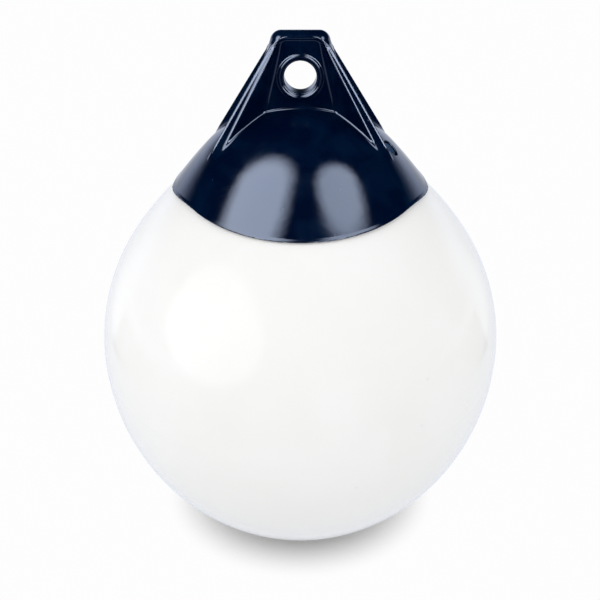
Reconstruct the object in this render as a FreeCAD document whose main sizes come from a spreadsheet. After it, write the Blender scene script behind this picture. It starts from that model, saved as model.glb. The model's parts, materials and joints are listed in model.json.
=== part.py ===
"""Inflatable mooring buoy: a hollow vinyl ball with a solid moulded rope hold bonded over its crown.

The origin is on the ball's axis, at the line where the buoy floats empty. +Z is up, the eye's hole
runs along Y, and the filling valve is on the +X side. Sizes are in millimetres and degrees.
"""
import FreeCAD, Part
import math
import os
import re

import Sketcher
from FreeCAD import Vector

SIZES = {
    # ball: four tangent arcs from the bottom to the crown, turned about the axis
    "ball_radius": 147.5,
    "ball_wall": 3.0,
    "draught": 61.6,
    "belly_setback": 24.5,
    "belly_turn": 50.0,
    "crown_side_setback": 80.5,
    "upper_turn": 34.5,
    "crown_side_turn": 52.0,
    # rope hold: dome and skirt
    "bond_gap": 0.1,
    "crown_thickness": 19.6,
    "dome_radius": 90.0,
    "dome_turn": 45.2,
    "skirt_foot_turn": 46.0,
    "skirt_foot_lift": 0.3,
    "skirt_side_radius": 340.0,
    "edge_rise": 5.4,
    "edge_arch_radius": 520.0,
    "edge_arch_share": 0.72,
    "edge_hump_share": 0.39,
    "edge_hump_turn": 45.0,
    # rope hold: head, plate and corner fins, with heights counted from the top of the dome
    "head_width": 38.2,
    "head_depth": 19.4,
    "head_rise": 48.5,
    "head_corner": 7.0,
    "head_slab": 2.6,
    "plate_thickness": 11.0,
    "shoulder_rise": 40.1,
    "shoulder_front_across": 17.2,
    "shoulder_front_deep": 9.6,
    "shoulder_side_across": 18.75,
    "shoulder_side_deep": 7.8,
    "foot_drop": 37.7,
    "foot_front_across": 59.7,
    "foot_front_deep": 32.6,
    "foot_side_across": 66.8,
    "foot_side_deep": 25.8,
    # rope hold: the folds where the plate meets the fins, and the floors of the side pockets
    "fold_top": 14.5,
    "fold_foot": 30.3,
    "side_pocket_drop": 3.8,
    "side_floor_top": 20.0,
    "side_floor_top_half": 6.6,
    "side_floor_foot": 42.1,
    "side_floor_foot_half": 3.0,
    # eye
    "eye_rise": 20.4,
    "eye_radius": 10.4,
    "eye_lip_radius": 1.85,
    # filling valve, on an axis through the centre of the dome's sphere
    "valve_tilt": 42.5,
    "valve_azimuth": -12.0,
    "recess_depth": 5.2,
    "recess_gap": 1.1,
    "barrel_wall": 1.55,
    "barrel_reach": 1.5,
    "flange_thickness": 1.2,
    "seat_fit": 0.1,
    "seal_thickness": 1.0,
    "seal_gap": 0.6,
    "plug_radius": 3.0,
    "plug_fit": 0.05,
    "plug_tip_setback": 2.5,
    "plug_head_overhang": 2.1,
    "plug_head_thickness": 2.0,
    "plug_slot_width": 1.3,
    "plug_slot_depth": 1.1,
}

doc = FreeCAD.newDocument("mooring_buoy")
sheet = doc.addObject("Spreadsheet::Sheet", "sizes")
for row, (word, size) in enumerate(SIZES.items(), start=1):
    sheet.set(f"A{row}", word)
    sheet.set(f"B{row}", str(size))
    sheet.setAlias(f"B{row}", word)
doc.recompute()


def value(formula):
    """The number that a formula of sheet sizes gives now."""
    return float(sheet.evalExpression(formula))


def size(formula):
    """The formula with its size names turned into references to the sheet."""
    return re.sub(r"[a-z_]+", lambda word: f"sizes.{word[0]}" if word[0] in SIZES else word[0], formula)


# Formulas that several outlines share. Distances along the valve's axis start at the dome's centre.
BELLY_RADIUS = "(ball_radius + belly_setback)"
EQUATOR = f"({BELLY_RADIUS} + belly_setback * (tan(belly_turn) - 1 / cos(belly_turn)) - draught)"
BOTTOM_RADIUS = f"({BELLY_RADIUS} - belly_setback / cos(belly_turn))"
CROWN_SIDE_RADIUS = "(ball_radius + crown_side_setback)"
CROWN_SIDE_ACROSS = "(-crown_side_setback * cos(upper_turn))"
CROWN_SIDE_UP = f"({EQUATOR} - crown_side_setback * sin(upper_turn))"
CROWN_RADIUS = f"({CROWN_SIDE_RADIUS} + {CROWN_SIDE_ACROSS} / cos(crown_side_turn))"
CROWN_CENTRE = f"({CROWN_SIDE_UP} - {CROWN_SIDE_ACROSS} * tan(crown_side_turn))"
DOME_CROWN = f"({CROWN_CENTRE} + {CROWN_RADIUS} + crown_thickness)"
DOME_CENTRE = f"({DOME_CROWN} - dome_radius)"
SKIRT_FOOT_ACROSS = (f"({CROWN_SIDE_ACROSS} + ({CROWN_SIDE_RADIUS} + skirt_foot_lift)"
                     " * cos(skirt_foot_turn))")
SKIRT_FOOT_UP = f"({CROWN_SIDE_UP} + ({CROWN_SIDE_RADIUS} + skirt_foot_lift) * sin(skirt_foot_turn))"
# Cutting tools reach clear of what they cut: past the whole ball, or past the fin's edge.
SPACE = "(2 * ball_radius)"
OVERREACH = "1.5"
# The skirt's edge seen from the front: an arch in the middle, then a hump on each side.
ARCH_END_ACROSS = f"(edge_arch_share * {SKIRT_FOOT_ACROSS})"
ARCH_COSINE = f"sqrt(1 - ({ARCH_END_ACROSS} / edge_arch_radius) ^ 2)"
ARCH_END_UP = f"({SKIRT_FOOT_UP} + edge_rise + edge_arch_radius * (1 - {ARCH_COSINE}))"
HUMP_RADIUS = f"(edge_hump_share * {SKIRT_FOOT_ACROSS})"
HUMP_END_ACROSS = (f"({ARCH_END_ACROSS} + {HUMP_RADIUS} * ({ARCH_END_ACROSS} / edge_arch_radius"
                   " + sin(edge_hump_turn)))")
HUMP_END_UP = f"({ARCH_END_UP} - {HUMP_RADIUS} * ({ARCH_COSINE} - cos(edge_hump_turn)))"
HEAD_TOP = f"({DOME_CROWN} + head_rise)"
POCKET_TOP = f"({HEAD_TOP} - head_slab)"
SHOULDER = f"({DOME_CROWN} + shoulder_rise)"
SIDE_POCKET_TOP = f"({SHOULDER} - side_pocket_drop)"
FOOT = f"({DOME_CROWN} - foot_drop)"
EYE = f"({DOME_CROWN} + eye_rise)"
CENTRES_APART = f"({DOME_CENTRE} - {CROWN_CENTRE})"
HOLLOW = (f"(sqrt(({CROWN_RADIUS} - ball_wall) ^ 2 - ({CENTRES_APART} * sin(valve_tilt)) ^ 2)"
          f" - {CENTRES_APART} * cos(valve_tilt))")
BARREL_END = f"({HOLLOW} - barrel_reach)"
SEAT_FLOOR = "(dome_radius - recess_depth)"
FLANGE_TOP = f"({SEAT_FLOOR} + flange_thickness)"
SEAL_TOP = f"({FLANGE_TOP} + seal_thickness)"
BORE_RADIUS = "(plug_radius + plug_fit)"
BARREL_RADIUS = f"({BORE_RADIUS} + barrel_wall)"
PLUG_HEAD_RADIUS = "(plug_radius + plug_head_overhang)"
RECESS_RADIUS = f"({PLUG_HEAD_RADIUS} + recess_gap)"


def origin_plane(body, role):
    return next(f for f in body.Origin.OriginFeatures if f.Role == role)


def new_sketch(body, name, role, across=None, up=None, out=None):
    """A sketch on one of the body's own origin planes, moved by formulas in the sketch's own axes."""
    sketch = body.newObject("Sketcher::SketchObject", name)
    sketch.AttachmentSupport = [(origin_plane(body, role), "")]
    sketch.MapMode = "FlatFace"
    for axis, formula in (("x", across), ("y", up), ("z", out)):
        if formula:
            sketch.setExpression(f".AttachmentOffset.Base.{axis}", size(formula))
    return sketch


def pin(sketch, geometry, end, spot, formulas):
    """Hold one end of a side at its two formulas."""
    for kind, distance, formula, axis in zip(("DistanceX", "DistanceY"), spot, formulas, (-2, -1)):
        if abs(distance) < 1e-9:
            sketch.addConstraint(Sketcher.Constraint("PointOnObject", geometry, end, axis))
            continue
        ends = (-1, 1, geometry, end) if distance > 0 else (geometry, end, -1, 1)
        index = sketch.addConstraint(Sketcher.Constraint(kind, *ends, abs(distance)))
        sketch.setExpression(f"Constraints[{index}]", size(formula if distance > 0 else f"-({formula})"))


def outline(sketch, corners, arcs=None):
    """A closed outline, drawn anticlockwise. arcs gives the radius of each side that is round:
    it swells outward, or inward where the formula starts with a minus sign."""
    arcs = arcs or {}
    spots = [Vector(value(size(a)), value(size(b)), 0) for a, b in corners]
    for side, start in enumerate(spots):
        end = spots[(side + 1) % len(spots)]
        if side not in arcs:
            sketch.addGeometry(Part.LineSegment(start, end))
            pin(sketch, side, 1, start, corners[side])
            continue
        formula = arcs[side]
        sign = -1 if formula.startswith("-") else 1
        radius = value(size(formula.lstrip("-")))
        chord = end - start
        outward = Vector(chord.y, -chord.x, 0).normalize() * sign
        rise = radius - math.sqrt(radius ** 2 - (chord.Length / 2) ** 2)
        middle = (start + end) / 2 + outward * rise
        sketch.addGeometry(Part.Arc(start, middle, end))
        first = 1 if sketch.getPoint(side, 1).distanceToPoint(start) < 1e-6 else 2
        pin(sketch, side, first, start, corners[side])
        index = sketch.addConstraint(Sketcher.Constraint("Radius", side, radius))
        sketch.setExpression(f"Constraints[{index}]", size(formula.lstrip("-")))
    for side, start in enumerate(spots):
        before = side - 1 if side else len(spots) - 1
        ends = []
        for geometry in (before, side):
            near = sketch.getPoint(geometry, 1).distanceToPoint(start) < 1e-6
            ends += [geometry, 1 if near else 2]
        sketch.addConstraint(Sketcher.Constraint("Coincident", *ends))
    doc.recompute()


def disc(sketch, formula, across="0", up="0"):
    """A circle of the given radius, centred at two formulas."""
    centre = Vector(value(size(across)), value(size(up)), 0)
    index = sketch.addGeometry(Part.Circle(centre, Vector(0, 0, 1), value(size(formula))))
    pin(sketch, index, 3, centre, (across, up))
    held = sketch.addConstraint(Sketcher.Constraint("Radius", index, value(size(formula))))
    sketch.setExpression(f"Constraints[{held}]", size(formula))


def turned(body, name, sketch, axis="V_Axis", kind="Revolution"):
    """Turn a sketch all the way round one of its own axes."""
    feature = body.newObject(f"PartDesign::{kind}", name)
    feature.Profile = sketch
    feature.ReferenceAxis = (sketch, [axis])
    feature.Angle = 360
    doc.recompute()
    return feature


def raised(body, name, sketch, formula, kind="Pad", both_ways=False, reverse=False):
    """Pad or pocket a sketch by a formula's length."""
    before = body.Shape.Volume if body.Tip else 0
    feature = body.newObject(f"PartDesign::{kind}", name)
    feature.Profile = sketch
    feature.setExpression("Length", size(formula))
    feature.Midplane = both_ways
    feature.Reversed = reverse
    doc.recompute()
    grown = body.Shape.Volume - before
    if (grown > 0) != (kind == "Pad"):
        raise RuntimeError(f"{name} changed nothing, or went the wrong way")
    return feature


def lofted(body, name, sections, kind="AdditiveLoft"):
    """A straight-sided loft between two sketches."""
    before = body.Shape.Volume if body.Tip else 0
    feature = body.newObject(f"PartDesign::{kind}", name)
    feature.Profile = sections[0]
    feature.Sections = sections[1:]
    feature.Ruled = True
    doc.recompute()
    if (body.Shape.Volume > before) != (kind == "AdditiveLoft"):
        raise RuntimeError(f"{name} changed nothing")
    return feature


def crown_curve(inset):
    """Corners and arcs of the ball's upper half, from the equator to the top of the crown."""
    side = (f"{CROWN_SIDE_ACROSS} + ({CROWN_SIDE_RADIUS} - {inset}) * cos(crown_side_turn)",
            f"{CROWN_SIDE_UP} + ({CROWN_SIDE_RADIUS} - {inset}) * sin(crown_side_turn)")
    upper = (f"(ball_radius - {inset}) * cos(upper_turn)",
             f"{EQUATOR} + (ball_radius - {inset}) * sin(upper_turn)")
    corners = [(f"ball_radius - {inset}", EQUATOR), upper, side,
               ("0", f"{CROWN_CENTRE} + {CROWN_RADIUS} - {inset}")]
    arcs = [f"ball_radius - {inset}", f"{CROWN_SIDE_RADIUS} - {inset}", f"{CROWN_RADIUS} - {inset}"]
    return corners, arcs


def belly_curve(inset):
    """Corners and arcs of the lower half, from the bottom up to the equator."""
    turn = (f"({BELLY_RADIUS} - {inset}) * cos(belly_turn) - belly_setback",
            f"{EQUATOR} - ({BELLY_RADIUS} - {inset}) * sin(belly_turn)")
    corners = [("0", f"-draught + {inset}"), turn]
    return corners, [f"{BOTTOM_RADIUS} - {inset}", f"{BELLY_RADIUS} - {inset}"]


def make_ball_blank():
    """The hollow ball, before the valve's hole."""
    body = doc.addObject("PartDesign::Body", "ball_blank")
    sketch = new_sketch(body, "ball_section", "XZ_Plane")
    belly, belly_arcs = belly_curve("0")
    crown, crown_arcs = crown_curve("0")
    inner_belly, inner_belly_arcs = belly_curve("ball_wall")
    inner_crown, inner_crown_arcs = crown_curve("ball_wall")
    outer = belly + crown
    inner = (inner_belly + inner_crown)[::-1]
    outer_arcs = belly_arcs + crown_arcs
    inner_arcs = ["-" + f"({radius})" for radius in (inner_belly_arcs + inner_crown_arcs)[::-1]]
    arcs = dict(enumerate(outer_arcs))
    arcs.update({len(outer) + i: radius for i, radius in enumerate(inner_arcs)})
    outline(sketch, outer + inner, arcs)
    turned(body, "ball_shell", sketch)
    return body


def fin_section(front_across, front_deep, side_across, side_deep):
    """Corners of the bracket's eight-sided section."""
    quarter = [(front_across, front_deep), (side_across, side_deep)]
    right = [(a, f"-{d}") for a, d in quarter] + [(a, d) for a, d in quarter[::-1]]
    left = [(f"-{a}", d) for a, d in quarter] + [(f"-{a}", f"-{d}") for a, d in quarter[::-1]]
    return right + left


def pocket_section(fold, edge_across, edge_deep):
    """Corners of the front pocket's section. Each wall runs from the fold through the fin's edge."""
    reach_across = f"({fold} + {OVERREACH} * ({edge_across} - {fold}))"
    reach_deep = f"(plate_thickness / 2 + {OVERREACH} * ({edge_deep} - plate_thickness / 2))"
    return [(f"-{reach_across}", f"-{reach_deep}"), (reach_across, f"-{reach_deep}"),
            (fold, "-plate_thickness / 2"), (f"-{fold}", "-plate_thickness / 2")]


def side_section(floor, floor_half, edge_across, edge_deep):
    """Corners of the side pocket's section. Each wall runs from the floor through the fin's edge."""
    reach_across = f"({floor} + {OVERREACH} * ({edge_across} - {floor}))"
    reach_deep = f"({floor_half} + {OVERREACH} * ({edge_deep} - {floor_half}))"
    return [(floor, f"-{floor_half}"), (reach_across, f"-{reach_deep}"),
            (reach_across, reach_deep), (floor, floor_half)]


def at_height(word_top, word_foot, height):
    """The size at a height, on the straight line from the shoulder's size to the foot's size."""
    share = f"(({height} - {FOOT}) / ({SHOULDER} - {FOOT}))"
    return f"({word_foot} + ({word_top} - {word_foot}) * {share})"


def mirrored(body, name, feature, role):
    """Repeat a feature on the other side of one of the body's origin planes."""
    before = body.Shape.Volume
    mirror = body.newObject("PartDesign::Mirrored", name)
    mirror.Originals = [feature]
    mirror.MirrorPlane = (origin_plane(body, role), [""])
    body.Tip = mirror
    doc.recompute()
    if abs(body.Shape.Volume - before) < 1:
        raise RuntimeError(f"{name} changed nothing")
    return mirror


def make_rope_hold_blank():
    """The moulded cap with its four fins, plate, head and eye, before the valve's recess."""
    body = doc.addObject("PartDesign::Body", "rope_hold_blank")
    foot = new_sketch(body, "fins_at_foot", "XY_Plane", out=FOOT)
    outline(foot, fin_section("foot_front_across", "foot_front_deep",
                              "foot_side_across", "foot_side_deep"))
    shoulder = new_sketch(body, "fins_at_shoulder", "XY_Plane", out=SHOULDER)
    outline(shoulder, fin_section("shoulder_front_across", "shoulder_front_deep",
                                  "shoulder_side_across", "shoulder_side_deep"))
    lofted(body, "fins", [foot, shoulder])

    head = new_sketch(body, "head_outline", "XZ_Plane")
    half = "head_width / 2"
    low, high = f"{SHOULDER} - head_corner", f"{HEAD_TOP} - head_corner"
    outline(head, [(f"-{half}", low), (half, low), (half, high), (f"{half} - head_corner", HEAD_TOP),
                   (f"-({half} - head_corner)", HEAD_TOP), (f"-{half}", high)],
            {2: "head_corner", 4: "head_corner"})
    raised(body, "head", head, "head_depth", both_ways=True)

    edge_across_top = at_height("shoulder_front_across", "foot_front_across", POCKET_TOP)
    edge_deep_top = at_height("shoulder_front_deep", "foot_front_deep", POCKET_TOP)
    low = new_sketch(body, "front_pocket_foot", "XY_Plane", out=FOOT)
    outline(low, pocket_section("fold_foot", "foot_front_across", "foot_front_deep"))
    high = new_sketch(body, "front_pocket_top", "XY_Plane", out=POCKET_TOP)
    outline(high, pocket_section("fold_top", edge_across_top, edge_deep_top))
    front = lofted(body, "front_pocket", [low, high], "SubtractiveLoft")
    mirrored(body, "back_pocket", front, "XZ_Plane")

    low = new_sketch(body, "side_pocket_foot", "XY_Plane", out=FOOT)
    outline(low, side_section("side_floor_foot", "side_floor_foot_half",
                              "foot_side_across", "foot_side_deep"))
    edge_across_top = at_height("shoulder_side_across", "foot_side_across", SIDE_POCKET_TOP)
    edge_deep_top = at_height("shoulder_side_deep", "foot_side_deep", SIDE_POCKET_TOP)
    high = new_sketch(body, "side_pocket_top", "XY_Plane", out=SIDE_POCKET_TOP)
    outline(high, side_section("side_floor_top", "side_floor_top_half",
                               edge_across_top, edge_deep_top))
    right = lofted(body, "right_pocket", [low, high], "SubtractiveLoft")
    mirrored(body, "left_pocket", right, "YZ_Plane")

    dome = new_sketch(body, "dome_section", "XZ_Plane")
    outline(dome, [("0", SKIRT_FOOT_UP), (SKIRT_FOOT_ACROSS, SKIRT_FOOT_UP),
                   ("dome_radius * sin(dome_turn)", f"{DOME_CENTRE} + dome_radius * cos(dome_turn)"),
                   ("0", DOME_CROWN)],
            {1: "skirt_side_radius", 2: "dome_radius"})
    turned(body, "dome", dome)

    lips = new_sketch(body, "eye_lips_section", "YZ_Plane", up=EYE)
    for side in ("plate_thickness / 2", "-plate_thickness / 2"):
        disc(lips, "eye_lip_radius", side, "eye_radius + eye_lip_radius")
    turned(body, "eye_lips", lips, "H_Axis")
    bore = new_sketch(body, "eye_outline", "XZ_Plane", up=EYE)
    disc(bore, "eye_radius")
    raised(body, "eye", bore, "2 * head_depth", "Pocket", both_ways=True)

    under = new_sketch(body, "ball_seat_section", "XZ_Plane")
    corners, arcs = crown_curve("-bond_gap")
    outline(under, [("0", EQUATOR)] + corners, {i + 1: radius for i, radius in enumerate(arcs)})
    turned(body, "ball_seat", under, kind="Groove")

    edge = new_sketch(body, "edge_outline", "XZ_Plane")
    outline(edge, [(f"-{SPACE}", EQUATOR), (SPACE, EQUATOR), (SPACE, HUMP_END_UP),
                   (HUMP_END_ACROSS, HUMP_END_UP), (ARCH_END_ACROSS, ARCH_END_UP),
                   (f"-{ARCH_END_ACROSS}", ARCH_END_UP), (f"-{HUMP_END_ACROSS}", HUMP_END_UP),
                   (f"-{SPACE}", HUMP_END_UP)],
            {3: HUMP_RADIUS, 4: "-edge_arch_radius", 5: HUMP_RADIUS})
    raised(body, "edge_arch", edge, f"2 * {SPACE}", "Pocket", both_ways=True)
    return body


VALVE_AXIS = (f"create(<<placement>>; create(<<vector>>; 0; 0; {DOME_CENTRE}); "
              "create(<<rotation>>; create(<<vector>>; 0; 0; 1); valve_azimuth) * "
              "create(<<rotation>>; create(<<vector>>; 0; 1; 0); valve_tilt))")


def valve_piece(name, corners):
    """A piece turned about the valve's axis. Corners are radius and distance from the dome's centre."""
    body = doc.addObject("PartDesign::Body", name)
    sketch = new_sketch(body, f"{name}_section", "XZ_Plane")
    outline(sketch, corners)
    turned(body, f"{name}_turned", sketch)
    return body


def make_valve_space():
    """The recess in the dome and the hole for the barrel, down into the hollow."""
    hole = f"{BARREL_RADIUS} + seat_fit"
    inside = f"({BARREL_END} - {BARREL_RADIUS})"
    outside = "2 * dome_radius"
    return valve_piece("valve_space", [("0", inside), (hole, inside), (hole, SEAT_FLOOR),
                                       (RECESS_RADIUS, SEAT_FLOOR), (RECESS_RADIUS, outside),
                                       ("0", outside)])


def make_valve_seat():
    """The flanged insert that the plug screws into."""
    flange = f"{RECESS_RADIUS} - seat_fit"
    return valve_piece("valve_seat", [(BORE_RADIUS, BARREL_END), (BARREL_RADIUS, BARREL_END),
                                      (BARREL_RADIUS, SEAT_FLOOR), (flange, SEAT_FLOOR),
                                      (flange, FLANGE_TOP), (BORE_RADIUS, FLANGE_TOP)])


def make_valve_seal():
    """The flat ring between the insert's flange and the plug's head."""
    inner = "plug_radius + seal_gap"
    return valve_piece("valve_seal", [(inner, FLANGE_TOP), (PLUG_HEAD_RADIUS, FLANGE_TOP),
                                      (PLUG_HEAD_RADIUS, SEAL_TOP), (inner, SEAL_TOP)])


def make_valve_plug():
    """The plug, with a slot across its head for a coin or a screwdriver."""
    head_top = f"({SEAL_TOP} + plug_head_thickness)"
    tip = f"{BARREL_END} + plug_tip_setback"
    body = valve_piece("valve_plug", [("0", tip), ("plug_radius", tip), ("plug_radius", SEAL_TOP),
                                      (PLUG_HEAD_RADIUS, SEAL_TOP), (PLUG_HEAD_RADIUS, head_top),
                                      ("0", head_top)])
    slot = new_sketch(body, "slot_outline", "XY_Plane", out=head_top)
    past, half = f"(2 * {PLUG_HEAD_RADIUS})", "plug_slot_width / 2"
    outline(slot, [(f"-{past}", f"-{half}"), (past, f"-{half}"), (past, half), (f"-{past}", half)])
    raised(body, "slot", slot, "plug_slot_depth", "Pocket")
    return body


def cut(name, base, tool):
    """The base with the tool's space taken out."""
    feature = doc.addObject("Part::Cut", name)
    feature.Base = base
    feature.Tool = tool
    doc.recompute()
    if feature.Shape.Volume >= base.Shape.Volume:
        raise RuntimeError(f"{name} was not cut")
    return feature


def main():
    """Build the document, check every object and write one file for each sub-part."""
    space = make_valve_space()
    valve = [make_valve_seat(), make_valve_seal(), make_valve_plug()]
    for piece in [space] + valve:
        piece.setExpression("Placement", size(VALVE_AXIS))
    doc.recompute()
    nodes = [cut("ball", make_ball_blank(), space), cut("rope_hold", make_rope_hold_blank(), space)]
    nodes += valve
    doc.recompute()
    for item in doc.Objects:
        if "Invalid" in item.State or "Error" in item.State:
            raise RuntimeError(f"{item.Name} did not build: {item.State}")
    for node in nodes:
        if node.Shape.isNull() or not node.Shape.isValid() or len(node.Shape.Solids) != 1:
            raise RuntimeError(f"{node.Label} is not one sound solid")
    os.makedirs("parts", exist_ok=True)
    for node in nodes:
        node.Shape.exportStep(f"parts/{node.Label}.step")
        print(node.Label, round(node.Shape.Volume), "cubic mm")


main()
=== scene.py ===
"""Looks of an inflatable mooring buoy: a white vinyl ball with a navy moulded rope hold.

Shapes are worked out in millimetres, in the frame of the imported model, and turned to metres last.
"""

import json
import math

import bpy
import numpy as np
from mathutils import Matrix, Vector


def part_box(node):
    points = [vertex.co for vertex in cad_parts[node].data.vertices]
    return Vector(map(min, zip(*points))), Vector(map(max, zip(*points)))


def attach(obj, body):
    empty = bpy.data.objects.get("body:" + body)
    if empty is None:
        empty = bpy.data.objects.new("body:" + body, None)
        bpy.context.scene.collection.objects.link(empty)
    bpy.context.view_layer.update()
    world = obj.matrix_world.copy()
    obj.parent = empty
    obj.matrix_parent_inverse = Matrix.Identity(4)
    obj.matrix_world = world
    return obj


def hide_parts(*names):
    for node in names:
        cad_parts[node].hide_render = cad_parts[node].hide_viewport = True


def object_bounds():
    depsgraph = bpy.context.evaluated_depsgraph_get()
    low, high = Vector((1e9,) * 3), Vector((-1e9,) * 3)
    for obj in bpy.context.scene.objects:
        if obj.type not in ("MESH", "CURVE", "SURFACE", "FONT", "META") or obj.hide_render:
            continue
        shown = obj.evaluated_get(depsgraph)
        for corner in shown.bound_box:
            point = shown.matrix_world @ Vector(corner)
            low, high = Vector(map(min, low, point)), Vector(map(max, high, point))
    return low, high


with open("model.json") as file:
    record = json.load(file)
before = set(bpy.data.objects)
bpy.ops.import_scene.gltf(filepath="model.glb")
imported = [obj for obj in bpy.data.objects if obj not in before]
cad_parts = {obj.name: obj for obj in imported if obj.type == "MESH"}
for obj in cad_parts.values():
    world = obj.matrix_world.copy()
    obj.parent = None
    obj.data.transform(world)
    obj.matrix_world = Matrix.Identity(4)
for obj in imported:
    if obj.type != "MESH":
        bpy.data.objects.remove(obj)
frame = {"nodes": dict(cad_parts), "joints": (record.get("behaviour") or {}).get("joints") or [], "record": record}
cad_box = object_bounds()
floor_height = cad_box[0][2]
MM = 0.001


# ---------------------------------------------------------------- camera

# How far the view looks down, how far away it is, and the point it looks at. Lens in millimetres.
VIEW_TILT = math.radians(31.5)
VIEW_DISTANCE = 0.589
AIM = Vector((-0.0002, 0.0, 0.1318))
LENS = 46.8
SENSOR = 36.0


def make_camera():
    data = bpy.data.cameras.new("camera")
    data.lens = LENS
    data.sensor_width = SENSOR
    camera = bpy.data.objects.new("camera", data)
    bpy.context.collection.objects.link(camera)
    back = Vector((0, -math.cos(VIEW_TILT), math.sin(VIEW_TILT)))
    camera.location = AIM + back * VIEW_DISTANCE
    camera.rotation_euler = back.to_track_quat("Z", "Y").to_euler()
    bpy.context.scene.camera = camera


# ---------------------------------------------------------------- node helpers

class Nodes:
    """A node tree with short ways to place a node, set its sockets and join it up."""

    def __init__(self, tree):
        self.tree = tree

    def add(self, kind, settings=None, **sockets):
        node = self.tree.nodes.new(kind)
        for word, setting in (settings or {}).items():
            setattr(node, word, setting)
        for word, value in sockets.items():
            self.feed(node, word.replace("_", " "), value)
        return node

    def feed(self, node, socket, value):
        """Set a socket to a value, or join it to another node's output."""
        spot = node.inputs[int(socket) if socket.strip().isdigit() else socket.strip()]
        if isinstance(value, bpy.types.NodeSocket):
            self.tree.links.new(value, spot)
        else:
            spot.default_value = value

    def math(self, operation, first, second=0.0):
        node = self.add("ShaderNodeMath", {"operation": operation})
        self.feed(node, "0", first)
        self.feed(node, "1", second)
        return node.outputs[0]

    def fade(self, value, start, end, low=0.0, high=1.0):
        """A smooth step from low to high as the value goes from start to end."""
        node = self.add("ShaderNodeMapRange", {"interpolation_type": "SMOOTHSTEP"},
                        Value=value, From_Min=start, From_Max=end, To_Min=low, To_Max=high)
        return node.outputs["Result"]

    def blend(self, share, first, second):
        """A colour between two others."""
        node = self.add("ShaderNodeMix", {"data_type": "RGBA"})
        self.feed(node, "0", share)
        self.feed(node, "6", first)
        self.feed(node, "7", second)
        return node.outputs[2]


# ---------------------------------------------------------------- studio

FLOOR_HALF = 6.0
FLOOR_COLOUR = (0.86, 0.86, 0.86, 1)
# Painted shade: the floor's colour near the buoy, darker than the rest of the floor, which makes the buoy's shadow
# deeper.
PAINTED_SHADOW_COLOUR = (0.48, 0.48, 0.48, 1)
SEEN_WHITE = 0.985

# What glossy surfaces see behind the buoy and on the floor. The room's blue is past white, which
# is 1, so the rope hold's sides reflect more blue there than a white room would give.
ROOM_REFLECTED = (0.87, 0.98, 1.27, 1)
FLOOR_REFLECTED = (0.78, 0.83, 0.95, 1)

# The shadow shows fully within its core and not at all past its rim. Within the core the floor is painted darker
# on top of its real shade; past the rim painted white glow hides the shade. It is wider than deep.
SHADOW_CORE, SHADOW_RIM = 0.055, 0.1
SHADOW_ACROSS = 0.85

ROOM_LIGHT = 0.715
ROOM_DARK = 0.02
ROOM_DARK_COLOUR = (0.15, 0.6, 1, 1)

# In reflections the room is pale only behind the buoy and low down. It fades in between these
# parts of a direction backwards, and out between these parts of it upwards.
WHITE_BEHIND = (0.2, 0.62)
WHITE_LOW = (0.05, 0.3)

# Black cards: near and far edge in metres, and the turn from the front where each starts and ends.
DISTANT = 5.9
BLACK_CARDS = ((0.52, DISTANT, -9, 9), (0.5, DISTANT, 27, 68), (0.5, 1.6, 68, 112),
               (0.5, DISTANT, -68, -27), (0.5, 1.6, -112, -68))
CARD_COLOUR = (0.003, 0.01, 0.016, 1)
CARD_HEIGHT = 0.002


def seen_rays(n, glossy=1.0):
    """1 for rays from the camera, through glass or from a glossy surface, else 0."""
    path = n.add("ShaderNodeLightPath")
    direct = n.math("MAXIMUM", path.outputs["Is Camera Ray"], path.outputs["Is Transmission Ray"])
    return n.math("MAXIMUM", direct, n.math("MULTIPLY", path.outputs["Is Glossy Ray"], glossy))


def seen_white(n, reflected):
    """White for the eye, and some other colour in reflections."""
    return n.blend(n.add("ShaderNodeLightPath").outputs["Is Glossy Ray"], (1, 1, 1, 1), reflected)


def stage_sheet(name, corners, faces):
    """Flat sheets on the floor that aren't part of the buoy."""
    mesh = bpy.data.meshes.new(name)
    mesh.from_pydata(corners, [], faces)
    sheet = bpy.data.objects.new(name, mesh)
    bpy.context.collection.objects.link(sheet)
    material = bpy.data.materials.new(name)
    material.use_nodes = True
    material.node_tree.nodes.clear()
    mesh.materials.append(material)
    return sheet, Nodes(material.node_tree)


def make_floor():
    """A pale floor. The eye sees it as plain white but for the buoy's shadow. That shadow is real shade, deepened
    by a floor colour painted darker near the buoy and cut short by white glow painted in around it.
    """
    corners = [(FLOOR_HALF * x, FLOOR_HALF * y, floor_height)
               for x, y in ((-1, -1), (1, -1), (1, 1), (-1, 1))]
    _, n = stage_sheet("floor", corners, [(0, 1, 2, 3)])
    flat = n.add("ShaderNodeVectorMath", {"operation": "MULTIPLY"})
    n.feed(flat, "0", n.add("ShaderNodeTexCoord").outputs["Object"])
    n.feed(flat, "1", (SHADOW_ACROSS, 1, 0))
    away = n.add("ShaderNodeVectorMath", {"operation": "LENGTH"})
    n.feed(away, "0", flat.outputs[0])
    seen = n.add("ShaderNodeMixShader")
    # Painted shade and painted light: a darker floor within the core, and white glow that fades in towards the rim
    # and cuts the shadow short.
    n.feed(seen, "0", n.fade(away.outputs["Value"], SHADOW_CORE, SHADOW_RIM))
    n.feed(seen, "1", n.add("ShaderNodeBsdfDiffuse", Color=PAINTED_SHADOW_COLOUR).outputs[0])
    n.feed(seen, "2", n.add("ShaderNodeEmission", Strength=SEEN_WHITE,
                           Color=seen_white(n, FLOOR_REFLECTED)).outputs[0])
    mix = n.add("ShaderNodeMixShader")
    n.feed(mix, "0", seen_rays(n))
    n.feed(mix, "1", n.add("ShaderNodeBsdfDiffuse", Color=FLOOR_COLOUR).outputs[0])
    n.feed(mix, "2", seen.outputs[0])
    n.add("ShaderNodeOutputMaterial", Surface=mix.outputs[0])


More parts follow.
